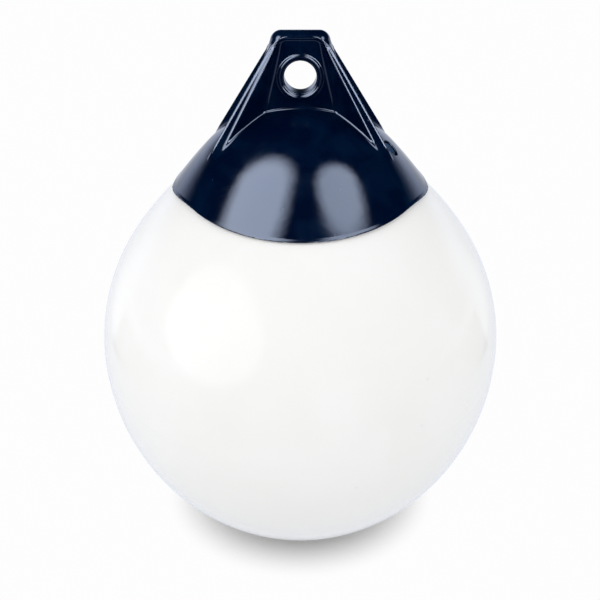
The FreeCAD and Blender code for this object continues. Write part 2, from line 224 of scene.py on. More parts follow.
def make_black_cards():
    """Black cards on the floor before and beside the buoy, which only glossy surfaces see."""
    corners, faces = [], []
    for near, far, start, end in BLACK_CARDS:
        first = len(corners)
        for turn in np.linspace(math.radians(start), math.radians(end), 5):
            for reach in (near, far):
                corners.append((reach * math.sin(turn), -reach * math.cos(turn),
                                floor_height + CARD_HEIGHT))
        faces += [(first + i, first + i + 1, first + i + 3, first + i + 2) for i in (0, 2, 4, 6)]
    card, n = stage_sheet("black_cards", corners, faces)
    black = n.add("ShaderNodeBsdfDiffuse", Color=CARD_COLOUR)
    n.add("ShaderNodeOutputMaterial", Surface=black.outputs[0])
    for ray in ("camera", "diffuse", "transmission", "shadow", "volume_scatter"):
        setattr(card, f"visible_{ray}", False)


def make_world():
    """White for the eye all round, soft light for surfaces, and for reflections a dark room that
    is pale low behind the buoy."""
    world = bpy.data.worlds.new("studio")
    bpy.context.scene.world = world
    world.use_nodes = True
    world.node_tree.nodes.clear()
    n = Nodes(world.node_tree)
    direction = n.add("ShaderNodeSeparateXYZ",
                      Vector=n.add("ShaderNodeTexCoord").outputs["Generated"])
    behind = n.fade(direction.outputs["Y"], *WHITE_BEHIND)
    low = n.fade(direction.outputs["Z"], *WHITE_LOW, 1.0, 0.0)
    white_seen = seen_rays(n, n.math("MULTIPLY", behind, low))
    is_glossy = n.add("ShaderNodeLightPath").outputs["Is Glossy Ray"]
    soft = n.add("ShaderNodeBackground",
                 Strength=n.fade(is_glossy, 0.0, 1.0, ROOM_LIGHT, ROOM_DARK),
                 Color=n.blend(is_glossy, (1, 1, 1, 1), ROOM_DARK_COLOUR))
    white = n.add("ShaderNodeBackground", Strength=SEEN_WHITE,
                  Color=seen_white(n, ROOM_REFLECTED))
    mix = n.add("ShaderNodeMixShader")
    n.feed(mix, "0", white_seen)
    n.feed(mix, "1", soft.outputs[0])
    n.feed(mix, "2", white.outputs[0])
    n.add("ShaderNodeOutputWorld", Surface=mix.outputs[0])


LAMP_AIM = Vector((0, 0, 0.1))


def lamp(name, towards, distance, width, tall, radiance, only_for=None, soft_from=None):
    """An elliptical area lamp that faces the ball. Its power follows from how bright its face is.
    It lights surfaces, or shows only in the reflections of the given pieces, where its face may
    fade from some share of its radius outwards."""
    data = bpy.data.lights.new(name, "AREA")
    data.shape = "ELLIPSE"
    data.size, data.size_y = width, tall
    data.energy = radiance * width * tall * (math.pi / 2) ** 2
    item = bpy.data.objects.new(name, data)
    bpy.context.collection.objects.link(item)
    direction = Vector(towards).normalized()
    item.location = LAMP_AIM + direction * distance
    item.rotation_euler = direction.to_track_quat("Z", "Y").to_euler()
    item.visible_camera = False
    item.visible_diffuse = only_for is None
    item.visible_glossy = only_for is not None
    item.visible_transmission = only_for is not None
    if only_for is not None:
        shown_in = bpy.data.collections.new(name + "_shows_in")
        for piece in only_for:
            shown_in.objects.link(piece)
        item.light_linking.receiver_collection = shown_in
    if soft_from is not None:
        soften_face(data, soft_from)


def soften_face(data, soft_from):
    """Let a lamp's face fade towards its rim, and leave it out of reflections of reflections."""
    data.use_nodes = True
    data.node_tree.nodes.clear()
    n = Nodes(data.node_tree)
    middle = n.add("ShaderNodeVectorMath", {"operation": "SUBTRACT"})
    n.feed(middle, "0", n.add("ShaderNodeNewGeometry").outputs["Parametric"])
    n.feed(middle, "1", (0.5, 0.5, 0))
    away = n.add("ShaderNodeVectorMath", {"operation": "LENGTH"})
    n.feed(away, "0", middle.outputs[0])
    level = n.fade(away.outputs["Value"], soft_from / 2, 0.5, 1.0, 0.0)
    first_only = n.math("LESS_THAN", n.add("ShaderNodeLightPath").outputs["Glossy Depth"], 1.5)
    level = n.math("MULTIPLY", level, first_only)
    n.add("ShaderNodeOutputLight", Surface=n.add("ShaderNodeEmission", Strength=level).outputs[0])


def make_lamps(ball, navy_pieces):
    lamp("left_softbox", (-0.65, -0.45, 0.62), 1.5, 1.5, 1.5, 1.22)
    lamp("right_softbox", (0.7, -0.45, 0.55), 1.5, 1.4, 1.4, 0.95)
    lamp("left_softbox_face", (-0.49, -0.34, 0.795), 1.5, 1.48, 1.9, 9.8, navy_pieces, 0.5)
    lamp("left_softbox_foot", (-0.46, -0.78, 0.4), 1.5, 1.3, 0.9, 14.0, navy_pieces, 0.7)
    lamp("right_softbox_face", (0.46, -0.30, 0.83), 1.5, 1.16, 1.05, 7.8, navy_pieces, 0.5)
    lamp("right_softbox_foot", (0.46, -0.78, 0.4), 1.5, 1.3, 0.9, 16.0, navy_pieces, 0.7)
    lamp("left_wall_face", (-1, -0.1, 0.02), 0.5, 1.2, 0.75, 0.7, ball, 0.4)
    lamp("right_wall_face", (1, -0.1, 0.02), 0.5, 1.2, 0.75, 0.65, ball, 0.4)
    lamp("round_softbox_face", (-0.728, -0.569, 0.383), 1.5, 1.75, 1.43, 4.0, ball, 0.9)


# ---------------------------------------------------------------- solids given as distances

def rounded_join(first, second, radius):
    """Two solids joined, with a fillet of that radius in the corner between them."""
    corner = np.hypot(np.maximum(radius - first, 0), np.maximum(radius - second, 0))
    return np.maximum(radius, np.minimum(first, second)) - corner


def rounded_trim(first, second, radius):
    """What two solids share, with the edge between them rounded to that radius."""
    edge = np.hypot(np.maximum(radius + first, 0), np.maximum(radius + second, 0))
    return np.minimum(-radius, np.maximum(first, second)) + edge


def cell_corners():
    return [(i, j, k) for i in (0, 1) for j in (0, 1) for k in (0, 1)]


def cell_points(field, cells):
    """For each cell that the surface crosses, the middle of its crossings, in steps of the grid."""
    levels = {corner: field[tuple((cells + corner).T)] for corner in cell_corners()}
    total = np.zeros((len(cells), 3))
    hits = np.zeros(len(cells))
    for start, near in levels.items():
        for axis in range(3):
            if start[axis]:
                continue
            end = tuple(1 if i == axis else start[i] for i in range(3))
            far = levels[end]
            crossed = (near < 0) != (far < 0)
            along = np.where(crossed, near / np.where(crossed, near - far, 1), 0)
            for i in range(3):
                total[:, i] += crossed * (start[i] + (along if i == axis else 0))
            hits += crossed
    return cells + total / hits[:, None]


def cell_faces(solid, number):
    """A four-sided face across each grid edge that the surface crosses."""
    faces = []
    for axis in range(3):
        near, far = [slice(1, -1)] * 3, [slice(1, -1)] * 3
        near[axis], far[axis] = slice(0, -1), slice(1, None)
        inside, beyond = solid[tuple(near)], solid[tuple(far)]
        spots = np.argwhere(inside != beyond)
        first_inside = inside[tuple(spots.T)]
        one, other = [i for i in range(3) if i != axis]
        around = []
        for a, b in ((0, 0), (1, 0), (1, 1), (0, 1)):
            cell = spots.copy()
            cell[:, one] += a
            cell[:, other] += b
            around.append(number[tuple(cell.T)])
        quads = np.stack(around, 1)
        turn = ~first_inside if axis != 1 else first_inside
        quads[turn] = quads[turn][:, ::-1]
        faces.append(quads)
    return np.concatenate(faces)


def grid_line(*stops):
    """Grid places between the first stop and the last. A stop is a place and the step after it."""
    line = [stops[0][0]]
    for (start, step), (end, _) in zip(stops, stops[1:]):
        line += list(np.linspace(start, end, math.ceil((end - start) / step) + 1)[1:])
    return np.array(line)


def skin(distance, grid):
    """Points and faces of the surface where the distance is nought, found on a grid."""
    fine = [line.astype(np.float32) for line in grid]
    slabs = np.array_split(fine[0], max(1, len(fine[0]) // 40))
    field = np.concatenate([distance(*np.meshgrid(slab, *fine[1:], indexing="ij", sparse=True))
                            .astype(np.float32) for slab in slabs])
    solid = field < 0
    counts = np.array(field.shape)
    count = np.zeros(counts - 1, np.uint8)
    for corner in cell_corners():
        count += solid[tuple(slice(c, c + n - 1) for c, n in zip(corner, counts))]
    cells = np.argwhere((count > 0) & (count < 8))
    number = np.full(count.shape, -1, np.int32)
    number[tuple(cells.T)] = np.arange(len(cells))
    spots = cell_points(field, cells)
    places = [np.interp(spots[:, i], np.arange(counts[i]), grid[i]) for i in range(3)]
    return np.stack(places, 1), cell_faces(solid, number)


def slopes(distance, points, reach=0.02):
    """How the distance changes at each point along x, y and z."""
    steps = reach * np.eye(3)
    return np.stack([(distance(*(points + s).T) - distance(*(points - s).T)) / (2 * reach)
                     for s in steps], 1)


def settle(distance, points, longest_move, rounds=4):
    """Move points onto the surface. Returns them with the surface's own normals."""
    for _ in range(rounds):
        slope = slopes(distance, points)
        move = -(distance(*points.T) / np.maximum((slope ** 2).sum(1), 0.05))[:, None] * slope
        length = np.linalg.norm(move, axis=1)
        points = points + move * np.minimum(1, longest_move / np.maximum(length, 1e-9))[:, None]
    slope = slopes(distance, points)
    return points, slope / np.linalg.norm(slope, axis=1)[:, None]


def thinned(mesh, faces_kept):
    """The mesh with its flattest faces merged until about that many triangles are left."""
    item = bpy.data.objects.new("thinning", mesh)
    bpy.context.collection.objects.link(item)
    modifier = item.modifiers.new("thin", "DECIMATE")
    modifier.ratio = min(1.0, faces_kept / (2 * len(mesh.polygons)))
    seen = item.evaluated_get(bpy.context.evaluated_depsgraph_get())
    thin = bpy.data.meshes.new_from_object(seen)
    bpy.data.objects.remove(item)
    bpy.data.meshes.remove(mesh)
    return thin


def modelled(name, distance, grid, longest_move, faces_kept=None, turn=np.eye(3), origin=(0, 0, 0)):
    """An object whose surface is where the distance is nought, smoothly shaded. The rows of turn
    are the directions that its own x, y and z take in the buoy's frame, from that origin."""
    points, faces = skin(distance, grid)
    points, normals = settle(distance, points, longest_move)
    mesh = bpy.data.meshes.new(name)
    mesh.from_pydata((points * MM).tolist(), [], faces.tolist())
    if faces_kept and 2 * len(faces) > faces_kept:
        mesh = thinned(mesh, faces_kept)
        mesh.name = name
        flat = np.empty(3 * len(mesh.vertices))
        mesh.vertices.foreach_get("co", flat)
        points, normals = settle(distance, flat.reshape(-1, 3) / MM, longest_move)
    mesh.vertices.foreach_set("co", ((points @ turn + origin) * MM).ravel())
    mesh.shade_smooth()
    mesh.normals_split_custom_set_from_vertices((normals @ turn).tolist())
    item = bpy.data.objects.new(name, mesh)
    bpy.context.collection.objects.link(item)
    return item


def between(start, end, fall, depth):
    """A size that goes evenly from start to end as the depth grows to the whole fall."""
    return start + (end - start) * depth / fall


# ---------------------------------------------------------------- sizes shared with the solids

HOLD_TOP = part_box("rope_hold")[1][2] / MM
BALL_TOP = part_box("ball")[1][2] / MM
EYE_MOUNT = next(m for m in frame["record"]["mounts"] if m["name"] == "eye")
EYE_HEIGHT = EYE_MOUNT["pos_m"][2] / MM
EYE_RADIUS = EYE_MOUNT["dims"]["r_mm"]
PLATE_HALF = EYE_MOUNT["dims"]["length_mm"] / 2
LIP, LIP_CENTRE = 1.2, EYE_RADIUS + 2.7
VALVE_AXIS = np.array(frame["joints"][0]["axis"])

SHOULDER = HOLD_TOP - 8.4
SIDE_POCKET_TOP = SHOULDER - 3.8
POCKET_TOP = HOLD_TOP - 2.6
FIN_FALL = 77.8
FOLD_FALL = 83.6
SIDE_FALL = 74.0
SHOULDER_FRONT, FOOT_FRONT = (15.4, 9.8), (59.4, 32.6)
SHOULDER_SIDE, FOOT_SIDE = (18.75, 7.8), (66.8, 25.8)
FOLD_TOP, FOLD_FOOT = 14.5, 30.3
SIDE_FLOOR_TOP, SIDE_FLOOR_FOOT = (20.0, 6.6), (42.1, 3.0)
CREST_FACING, CREST_CUT = (0.2, 0.98), 0.65
FIN_BEAD = 0.95
FIN_SINK, FIN_SINK_FROM = 0.035, 59.0
HEAD_HALF_WIDTH = 19.1
HEAD_CORNER = 7.0
HEAD_ROUND = 9.7

DOME_RADIUS = 90.0
DOME_CENTRE = HOLD_TOP - 48.5 - DOME_RADIUS
DOME_TURN = math.radians(45.2)
SKIRT_RADIUS = 340.0
BOND_LAP = 0.6

# The ball's upper half: two arcs, then the crown's arc about the axis.
BALL_RADIUS = 147.5
EQUATOR = BALL_TOP - 159.562
SIDE_SETBACK = 80.5
UPPER_TURN, SIDE_TURN = math.radians(34.5), math.radians(52.0)
SIDE_RADIUS = BALL_RADIUS + SIDE_SETBACK
SIDE_CENTRE = (-SIDE_SETBACK * math.cos(UPPER_TURN), EQUATOR - SIDE_SETBACK * math.sin(UPPER_TURN))
CROWN_RADIUS = SIDE_RADIUS + SIDE_CENTRE[0] / math.cos(SIDE_TURN)
CROWN_CENTRE = SIDE_CENTRE[1] - SIDE_CENTRE[0] * math.tan(SIDE_TURN)

# The skirt's foot on the ball, and the skirt's edge: an arch in the middle, a hump on each side.
FOOT_TURN = math.radians(46.0)
SKIRT_FOOT = (SIDE_CENTRE[0] + (SIDE_RADIUS + 0.3) * math.cos(FOOT_TURN),
              SIDE_CENTRE[1] + (SIDE_RADIUS + 0.3) * math.sin(FOOT_TURN))
ARCH_RADIUS = 520.0
ARCH_LOW = SKIRT_FOOT[1] + 5.4
ARCH_END = 0.72 * SKIRT_FOOT[0]
HUMP_RADIUS = 0.39 * SKIRT_FOOT[0]


def skirt_centre():
    """Centre of the skirt's round side, across and up, from the dome's rim and the skirt's foot."""
    rim = np.array((DOME_RADIUS * math.sin(DOME_TURN),
                    DOME_CENTRE + DOME_RADIUS * math.cos(DOME_TURN)))
    chord = np.array(SKIRT_FOOT) - rim
    length = np.hypot(*chord)
    inward = np.array((chord[1], -chord[0])) / length
    return (rim + SKIRT_FOOT) / 2 + inward * math.sqrt(SKIRT_RADIUS ** 2 - (length / 2) ** 2)


SKIRT_CENTRE = skirt_centre()


# ---------------------------------------------------------------- the rope hold's shape

def cap_outside(across, z):
    """Distance from the dome and skirt, blended over a few degrees where they meet."""
    dome = np.hypot(across, z - DOME_CENTRE) - DOME_RADIUS
    skirt = np.hypot(across - SKIRT_CENTRE[0], z - SKIRT_CENTRE[1]) - SKIRT_RADIUS
    turn = np.arctan2(across, z - DOME_CENTRE)
    share = np.clip((turn - DOME_TURN) / math.radians(6) + 0.5, 0, 1)
    return dome + (skirt - dome) * share * share * (3 - 2 * share)


def ball_outside(across, z):
    """Distance from the ball's upper half."""
    upper = np.hypot(across, z - EQUATOR) - BALL_RADIUS
    side = np.hypot(across - SIDE_CENTRE[0], z - SIDE_CENTRE[1]) - SIDE_RADIUS
    crown = np.hypot(across, z - CROWN_CENTRE) - CROWN_RADIUS
    turn = np.arctan2(z - SIDE_CENTRE[1], across - SIDE_CENTRE[0])
    return np.where(turn > SIDE_TURN, crown, np.where(turn < UPPER_TURN, upper, side))


def below_edge(x, z):
    """Distance below the skirt's wavy edge."""
    end_slope = ARCH_END / ARCH_RADIUS
    arch_x = np.minimum(x, ARCH_END)
    arch_rise = np.sqrt(ARCH_RADIUS ** 2 - arch_x ** 2)
    hump_start = HUMP_RADIUS * end_slope
    hump_x = np.clip(x - ARCH_END - hump_start, -hump_start, 0.8 * HUMP_RADIUS)
    hump_rise = np.sqrt(HUMP_RADIUS ** 2 - hump_x ** 2)
    cosine = math.sqrt(1 - end_slope ** 2)
    arch = ARCH_LOW + ARCH_RADIUS - arch_rise
    hump = ARCH_LOW + ARCH_RADIUS * (1 - cosine) - HUMP_RADIUS * cosine + hump_rise
    in_arch = x < ARCH_END
    slope = np.where(in_arch, arch_x / arch_rise, hump_x / hump_rise)
    return (np.where(in_arch, arch, hump) - z) / np.sqrt(1 + slope ** 2)


def fins(x, y, z):
    """The eight-sided block that the corner fins are cut from. Each fin has a narrow crest in
    front and a bead on its outer edge, and that edge sinks into the dome at its foot."""
    depth = SHOULDER - z
    front_x, front_y = (between(a, b, FIN_FALL, depth) for a, b in zip(SHOULDER_FRONT, FOOT_FRONT))
    side_x, side_y = (between(a, b, FIN_FALL, depth) for a, b in zip(SHOULDER_SIDE, FOOT_SIDE))
    side_x = side_x - FIN_SINK * np.maximum(depth - FIN_SINK_FROM, 0) ** 2
    front = (y - front_y) / math.hypot(1, (FOOT_FRONT[1] - SHOULDER_FRONT[1]) / FIN_FALL)
    side = (x - side_x) / math.hypot(1, (FOOT_SIDE[0] - SHOULDER_SIDE[0]) / FIN_FALL)
    normal_x, normal_y = front_y - side_y, side_x - front_x
    corner = ((x - front_x) * normal_x + (y - front_y) * normal_y) / np.hypot(normal_x, normal_y)
    crest = 0.92 * ((x - front_x) * CREST_FACING[0] + (y - front_y) * CREST_FACING[1] + CREST_CUT)
    block = np.maximum(rounded_trim(np.maximum(front, 0.85 * corner), crest, 0.35), side)
    bead = 0.85 * (np.hypot(x - side_x + 0.6, y - side_y + 0.1) - FIN_BEAD)
    return rounded_trim(rounded_join(block, bead, 0.5), z - SHOULDER - 1, 1.0)


def head(x, y, z):
    """The rounded head that frames the plate."""
    past_x, past_z = x - HEAD_HALF_WIDTH + HEAD_CORNER, z - HOLD_TOP + HEAD_CORNER
    outline = (np.hypot(np.maximum(past_x, 0), np.maximum(past_z, 0))
               + np.minimum(np.maximum(past_x, past_z), 0) - HEAD_CORNER)
    bar = rounded_trim(outline, y - HEAD_ROUND, HEAD_ROUND)
    return np.maximum(bar, SHOULDER - HEAD_CORNER - z)


def front_pocket(x, y, z):
    """The space before the plate, between the fins and under the head."""
    fold = between(FOLD_TOP, FOLD_FOOT, FOLD_FALL, POCKET_TOP - z)
    edge_x, edge_y = (between(a, b, FIN_FALL, SHOULDER - z)
                      for a, b in zip(SHOULDER_FRONT, FOOT_FRONT))
    run_x, run_y = edge_x - fold, edge_y - PLATE_HALF
    wall = 0.9 * ((x - fold) * run_y - (y - PLATE_HALF) * run_x) / np.hypot(run_x, run_y)
    mouth = rounded_trim(wall, z - POCKET_TOP, 5.0)
    fillet = 1.0 + 2.5 * np.clip((z - EYE_HEIGHT + 25) / 40, 0, 1)
    return rounded_trim(mouth, PLATE_HALF - y, fillet)


def side_pocket(x, y, z):
    """The space between the two fins on one side."""
    floor_x, floor_y = (between(a, b, SIDE_FALL, SIDE_POCKET_TOP - z)
                        for a, b in zip(SIDE_FLOOR_TOP, SIDE_FLOOR_FOOT))
    edge_x, edge_y = (between(a, b, FIN_FALL, SHOULDER - z)
                      for a, b in zip(SHOULDER_SIDE, FOOT_SIDE))
    run_x, run_y = edge_x - floor_x, edge_y - floor_y
    wall = 0.9 * ((y - floor_y) * run_x - (x - floor_x) * run_y) / np.hypot(run_x, run_y)
    pocket = rounded_trim(wall, 0.86 * (floor_x - x), 1.5)
    return rounded_trim(pocket, z - SIDE_POCKET_TOP, 1.5)


def eye_lip(from_eye, y):
    """The round lip on each face of the plate."""
    return np.hypot(from_eye - LIP_CENTRE, y - PLATE_HALF) - LIP


def along_valve(x, y, z):
    """Distance along the valve's axis from the dome's centre, and distance out from the axis."""
    along = x * VALVE_AXIS[0] + y * VALVE_AXIS[1] + (z - DOME_CENTRE) * VALVE_AXIS[2]
    square = x * x + y * y + (z - DOME_CENTRE) ** 2 - along ** 2
    return along, np.sqrt(np.maximum(square, 0))


RECESS_RADIUS, RECESS_DEPTH, BARREL_HOLE = 6.2, 5.2, 4.7

# The small roll along the skirt's edge: its radius and how far in and up its middle lies.
ROLL_RADIUS, ROLL_IN, ROLL_UP = 0.65, 0.45, 0.7


def rope_hold_shape(x, y, z):
    """Distance from the whole moulding."""
    aside, deep, across = np.abs(x), np.abs(y), np.hypot(x, y)
    hold = rounded_join(fins(aside, deep, z), head(aside, deep, z), 3.0)
    rim = 0.8 + np.clip((z - SHOULDER + 2) / 4, 0, 1)
    hold = rounded_trim(hold, -front_pocket(aside, deep, z), rim)
    hold = rounded_trim(hold, -side_pocket(aside, deep, z), 0.6)
    outside = cap_outside(across, z)
    cap = rounded_join(hold, outside, 2.2)
    from_eye = np.hypot(x, z - EYE_HEIGHT)
    cap = rounded_join(cap, eye_lip(from_eye, deep), 0.8)
    cap = rounded_trim(cap, EYE_RADIUS - from_eye, 0.6)
    edge = below_edge(aside, z)
    roll = np.hypot(outside + ROLL_IN, edge + ROLL_UP) - ROLL_RADIUS
    cap = rounded_join(rounded_trim(cap, edge, 0.5), roll, 0.6)
    cap = np.maximum(cap, -BOND_LAP - ball_outside(across, z))
    along, away = along_valve(x, y, z)
    recess = np.maximum(away - RECESS_RADIUS, DOME_RADIUS - RECESS_DEPTH - along)
    hole = np.maximum(away - BARREL_HOLE, DOME_RADIUS / 2 - along)
    return np.maximum(rounded_trim(cap, -recess, 0.7), -hole)


def stands_for(item, node, body, material):
    """Finish a piece that takes a CAD node's place."""
    item.data.materials.append(material)
    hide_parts(node)
    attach(item, body)
    return item


# Triangles left in the moulding's mesh.
FACES_KEPT = 195000


def make_rope_hold():
    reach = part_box("rope_hold")[1][0] / MM + 3
    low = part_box("rope_hold")[0][2] / MM - 3
    x_line = grid_line((-reach, 0.9), (-67, 0.55), (67, 0.9), (reach, 0))
    y_line = grid_line((-reach, 0.9), (-35, 0.55), (35, 0.9), (reach, 0))
    z_line = grid_line((low, 0.75), (HOLD_TOP - 90, 0.55), (HOLD_TOP + 2, 0))
    item = modelled("rope_hold_moulding", rope_hold_shape, (x_line, y_line, z_line), 0.4,
                    FACES_KEPT)
    return stands_for(item, "rope_hold", "buoy", rope_hold_vinyl())


# ---------------------------------------------------------------- filling valve

# The valve's own frame: z out along its axis, x down the dome.
VALVE_ORIGIN = np.array((0, 0, DOME_CENTRE))
VALVE_DOWN = np.cross(np.cross(VALVE_AXIS, (0, 0, -1)), VALVE_AXIS)
VALVE_DOWN /= np.linalg.norm(VALVE_DOWN)
VALVE_TURN = np.array((VALVE_DOWN, np.cross(VALVE_AXIS, VALVE_DOWN), VALVE_AXIS))


def valve_reach(node):
    """A valve solid's inner end and outer end along the axis, and its radius."""
    mesh = frame["nodes"][node].data
    flat = np.empty(3 * len(mesh.vertices))
    mesh.vertices.foreach_get("co", flat)
    spots = (flat.reshape(-1, 3) / MM - VALVE_ORIGIN) @ VALVE_TURN.T
    return spots[:, 2].min(), spots[:, 2].max(), np.hypot(spots[:, 0], spots[:, 1]).max()


def disc(away, z, radius, start, end, edge):
    """Distance from a short round bar with rounded edges."""
    return rounded_trim(away - radius, np.abs(z - (start + end) / 2) - (end - start) / 2, edge)


def make_valve_piece(node, body, material, shape, step):
    """A turned piece of the valve. Its shape is given from its solid's ends and radius."""
    start, end, radius = valve_reach(node)
    across = grid_line((-radius - 1, step), (radius + 1, 0))
    along = grid_line((start - 1, step), (end + 1, 0))
    item = modelled(node + "_turned", lambda x, y, z: shape(x, y, z, start, end, radius),
                    (across, across, along), step / 2, turn=VALVE_TURN, origin=VALVE_ORIGIN)
    return stands_for(item, node, body, material)


PLUG_RADIUS, PLUG_BORE = 3.0, 3.05
THREAD_PITCH, THREAD_DEPTH, TAPPED_DEPTH = 1.25, 0.35, 0.3
HEAD_THICKNESS = 2.0
KNURL_DEPTH, KNURLS = 0.09, 32
SLOT_HALF, SLOT_DEPTH = 0.65, 1.3
BOWL_RADIUS, BOWL_DEPTH = 10.5, 0.95


def thread(turn, z, depth):
    """How deep a screw thread is cut at that turn and height."""
    return depth * np.abs(2 * ((z / THREAD_PITCH - turn / math.tau) % 1) - 1)


def seat_shape(x, y, z, start, end, radius):
    """A thin flange with a raised rim on a barrel. The bore is tapped and opens in a chamfer."""
    away = np.hypot(x, y)
    flange = disc(away, z, radius, end - 1.2, end, 0.25)
    flange = rounded_trim(flange, -np.maximum(np.abs(away - 5.35) - 0.22, end - 0.25 - z), 0.08)
    barrel = disc(away, z, BARREL_HOLE - 0.1, start, end - 0.4, 0.3)
    groove = PLUG_BORE + thread(np.arctan2(y, x), z, TAPPED_DEPTH)
    bore = np.where(z > end - 0.9, PLUG_BORE + 0.1, groove) + np.maximum(z - end + 0.5, 0)
    return np.maximum(rounded_join(flange, barrel, 0.2), 0.8 * (bore - away))


def seal_shape(x, y, z, start, end, radius):
    """A soft ring that bulges a little between the flange and the plug's head."""
    away = np.hypot(x, y)
    inner = PLUG_RADIUS + 0.6
    half = (radius - inner) / 2
    return rounded_trim(np.abs(away - radius + half) - half,
                        np.abs(z - (start + end) / 2) - (end - start) / 2, 0.3)


def plug_shape(x, y, z, start, end, radius):
    """A round head with a coin slot and a knurled rim, on a threaded shank with a tapered tip."""
    away, turn = np.hypot(x, y), np.arctan2(y, x)
    knurl = KNURL_DEPTH * (0.5 + 0.5 * np.cos(KNURLS * turn))
    head_disc = disc(away + knurl * np.clip((end - 0.35 - z) / 0.3, 0, 1), z, radius,
                     end - HEAD_THICKNESS, end, 0.45)
    bowl = np.hypot(away, z - end - BOWL_RADIUS + BOWL_DEPTH) - BOWL_RADIUS
    head_disc = rounded_trim(head_disc, -bowl, 0.15)
    slot_cut = np.maximum(np.abs(y) - SLOT_HALF, end - SLOT_DEPTH - z)
    head_disc = rounded_trim(head_disc, -slot_cut, 0.12)
    groove = thread(turn, z, THREAD_DEPTH)
    threaded = np.clip((end - HEAD_THICKNESS - 1 - z) / 0.4, 0, 1)
    shank = np.maximum(0.85 * (away - PLUG_RADIUS + groove * threaded), start - z)
    shank = np.maximum(shank, 0.7 * (away - PLUG_RADIUS + 0.9 + start - z))
    return rounded_join(head_disc, np.maximum(shank, z - end + HEAD_THICKNESS / 2), 0.1)


def make_valve():
    """The valve's insert, seal and plug."""
    seat_look = hard_plastic("seat_plastic", (0.0015, 0.008, 0.03), (0.003, 0.016, 0.05))
    seat = make_valve_piece("valve_seat", "buoy", seat_look, seat_shape, 0.16)
    seal = make_valve_piece("valve_seal", "buoy", seal_rubber(), seal_shape, 0.11)
    plug_look = hard_plastic("plug_plastic_detail", (0.004, 0.024, 0.07), (0.008, 0.042, 0.11))
    plug = make_valve_piece("valve_plug", "plug", plug_look, plug_shape, 0.12)
    return [seat, seal, plug]


# ---------------------------------------------------------------- effects that materials share

def effect(name, inputs, outputs, fill):
    """A node group, built once. Fill gets the nodes and the inputs and gives back the outputs."""
    tree = bpy.data.node_groups.get(name)
    if tree is None:
        tree = bpy.data.node_groups.new(name, "ShaderNodeTree")
        for word, value in inputs.items():
            kind = "NodeSocketVector" if word == "Place" else "NodeSocketFloat"
            socket = tree.interface.new_socket(word, in_out="INPUT", socket_type=kind)
            if value is not None:
                socket.default_value = value
        for word in outputs:
            tree.interface.new_socket(word, in_out="OUTPUT", socket_type="NodeSocketFloat")
        n = Nodes(tree)
        given = n.add("NodeGroupInput")
        end = n.add("NodeGroupOutput")
        for word, value in zip(outputs, fill(n, given.outputs)):
            n.feed(end, word, value)
    return tree


def noise(n, place, size, detail=2.0, twist=0.0):
    """Soft noise from 0 to 1 whose patches are about that wide, in metres."""
    per_metre = n.math("DIVIDE", 1.0, size)
    return n.add("ShaderNodeTexNoise", Vector=place, Scale=per_metre, Detail=detail,
                 Distortion=twist).outputs["Fac"]


def fill_grain(n, given):
    """The slight ripple and fine grain of a moulded skin."""
    ripple = noise(n, given["Place"], given["Ripple"], 1.0)
    grain = noise(n, given["Place"], given["Grain"], 2.0)
    return [n.math("ADD", n.math("MULTIPLY", ripple, 0.92), n.math("MULTIPLY", grain, 0.08))]


def fill_clouds(n, given):
    """Broad patches where the melt flowed and cooled unevenly."""
    broad = noise(n, given["Place"], given["Size"], 3.0, 0.6)
    return [n.fade(broad, 0.36, 0.66)]


def fill_scratches(n, given):
    """Fine hair scratches in two directions, in patches where the buoy has rubbed. They show
    only where they run along the surface."""
    total = None
    facing = n.add("ShaderNodeNewGeometry").outputs["Normal"]
    for turn in (0.4, 1.9):
        rotation = (turn, 0.6 * turn, 1.3 * turn)
        place, normal = (n.add("ShaderNodeVectorRotate", {"rotation_type": "EULER_XYZ"},
                               Vector=vector, Rotation=rotation).outputs[0]
                         for vector in (given["Place"], facing))
        drawn = n.add("ShaderNodeVectorMath", {"operation": "MULTIPLY"})
        n.feed(drawn, "0", place)
        n.feed(drawn, "1", (0.02, 1, 1))
        level = noise(n, drawn.outputs[0], given["Spacing"], 0.0)
        line = n.fade(n.math("ABSOLUTE", n.math("SUBTRACT", level, 0.5)), 0.0, 0.008, 1.0, 0.0)
        across = n.math("ABSOLUTE", n.add("ShaderNodeSeparateXYZ", Vector=normal).outputs["X"])
        line = n.math("MULTIPLY", line, n.fade(across, 0.1, 0.35, 1.0, 0.0))
        total = line if total is None else n.math("MAXIMUM", total, line)
    rubbed = n.fade(noise(n, given["Place"], given["Patch"], 2.0), 0.52, 0.68)
    return [n.math("MULTIPLY", total, rubbed)]


def fill_dust(n, given):
    """Dust, thickest on what faces up, and small specks of it all over."""
    up = n.add("ShaderNodeSeparateXYZ", Vector=n.add("ShaderNodeNewGeometry").outputs["Normal"])
    settled = n.math("MULTIPLY", n.fade(up.outputs["Z"], 0.1, 0.95),
                     n.fade(noise(n, given["Place"], given["Patch"], 5.0), 0.42, 0.75))
    dots = n.add("ShaderNodeTexVoronoi", Vector=given["Place"],
                 Scale=n.math("DIVIDE", 1.0, given["Spacing"]))
    near = n.fade(dots.outputs["Distance"], 0.03, 0.09, 1.0, 0.0)
    chosen = n.add("ShaderNodeSeparateXYZ", Vector=dots.outputs["Color"])
    return [settled, n.math("MULTIPLY", near, n.fade(chosen.outputs["X"], 0.7, 0.74))]


EFFECTS = {
    "moulded_grain": ({"Place": None, "Ripple": 0.004, "Grain": 0.0006}, ["Height"], fill_grain),
    "melt_clouds": ({"Place": None, "Size": 0.03}, ["Cloud"], fill_clouds),
    "hair_scratches": ({"Place": None, "Spacing": 0.004, "Patch": 0.05}, ["Mask"], fill_scratches),
    "dust": ({"Place": None, "Patch": 0.03, "Spacing": 0.012}, ["Settled", "Specks"], fill_dust),
}


